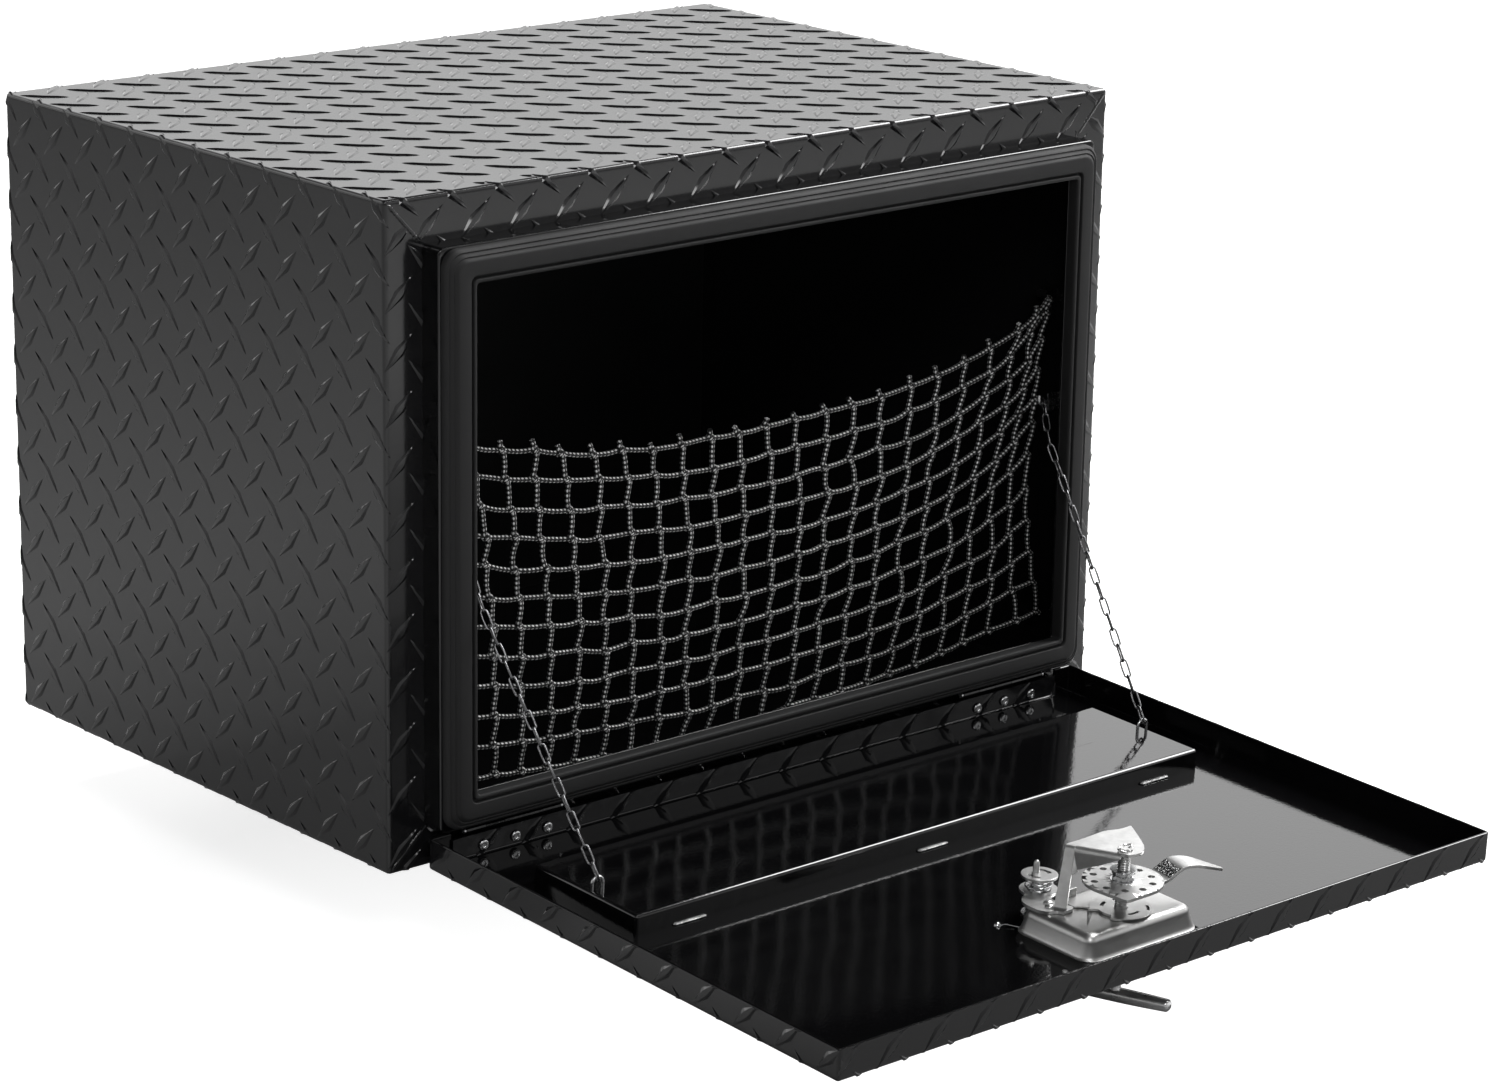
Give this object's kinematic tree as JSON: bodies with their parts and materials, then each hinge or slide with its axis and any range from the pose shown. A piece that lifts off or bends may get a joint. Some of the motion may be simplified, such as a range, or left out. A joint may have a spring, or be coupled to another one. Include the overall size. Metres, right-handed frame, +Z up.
{
  "type": "underbody truck tool box",
  "caption": "Tread-plate truck tool box with a drop-down door on chains, rubber-sealed opening, cargo net inside and a turning latch with a folding T-handle.",
  "frame": {"origin": "middle of the bottom face, where an underbody bracket's arm carries the box", "axes": "+X to the right seen from the front, +Y to the back, +Z up; the door opens towards -Y"},
  "size_m": [0.61, 0.8094, 0.4823],
  "materials": {
    "tread_plate": "black gloss powder coat over raised tread pattern",
    "black_sheet": "black gloss powder coat on plain sheet",
    "gloss_black_door": "deep gloss black, mirror-like on the door's inner face",
    "seal_rubber": "matte grooved rubber",
    "net_cord": "braided black cord",
    "stainless": "satin to polished stainless",
    "zinc_steel": "bright zinc-plated steel"
  },
  "bodies": {
    "case": {"top_panel": "tread_plate", "bottom_panel": "tread_plate", "side_panel_left": "tread_plate", "side_panel_right": "tread_plate", "back_panel": "black_sheet", "door_frame": "black_sheet", "door_seal": "seal_rubber", "net": "net_cord", "hinge_body_leaf_left": "black_sheet", "hinge_body_leaf_right": "black_sheet", "hinge_pin_left": "zinc_steel", "hinge_pin_right": "zinc_steel", "chain_hook_left": "zinc_steel", "chain_hook_right": "zinc_steel", "chain_left": "zinc_steel", "chain_right": "zinc_steel", "net_hook_left_1": "zinc_steel", "net_hook_left_2": "zinc_steel", "net_hook_left_3": "zinc_steel", "net_hook_right_1": "zinc_steel", "net_hook_right_2": "zinc_steel", "net_hook_right_3": "zinc_steel"},
    "door": {"door_tray": "gloss_black_door", "door_hinge_rail": "tread_plate", "hinge_door_leaf_left": "black_sheet", "hinge_door_leaf_right": "black_sheet", "hinge_screw_1": "zinc_steel", "hinge_screw_2": "zinc_steel", "hinge_screw_3": "zinc_steel", "hinge_screw_4": "zinc_steel", "hinge_screw_5": "zinc_steel", "hinge_screw_6": "zinc_steel", "stiffener": "gloss_black_door", "chain_eye_left": "zinc_steel", "chain_eye_right": "zinc_steel", "latch_pan": "stainless", "latch_bridge": "stainless", "bridge_rivet_1": "stainless", "bridge_rivet_2": "stainless", "floor_rivet": "zinc_steel", "lock_guide": "stainless", "lock_cylinder": "zinc_steel"},
    "latch": {"spindle": "stainless", "detent_disc": "stainless", "nut_lower": "zinc_steel", "nut_upper": "zinc_steel", "nut_lock": "zinc_steel", "cam_plate": "stainless", "pawl": "stainless", "handle_yoke": "zinc_steel", "handle_pin": "zinc_steel"},
    "handle": {"t_handle": "stainless"},
    "key": {"lock_plug": "zinc_steel", "lock_disc": "stainless"}
  },
  "joints": [
    {"name": "door_hinge", "type": "hinge", "parent": "case", "child": "door", "pos_m": [0, -0.2179, 0.0211], "axis": [-1, 0, 0], "range_deg": [0, 92.1], "deforming": ["chain_left", "chain_right"]},
    {"name": "latch_turn", "type": "hinge", "parent": "door", "child": "latch", "pos_m": [0, -0.54358, 0.00916], "axis": [0, 0.0366, -0.9993], "range_deg": [-12, 78]},
    {"name": "handle_fold", "type": "hinge", "parent": "latch", "child": "handle", "pos_m": [0, -0.54259, -0.01792], "axis": [0.4067, -0.9129, -0.0335], "range_deg": [0, 90]},
    {"name": "key_turn", "type": "hinge", "parent": "door", "child": "key", "pos_m": [-0.0215, -0.49411, 0.01097], "axis": [0, 0.0366, -0.9993], "range_deg": [0, 90]}
  ]
}
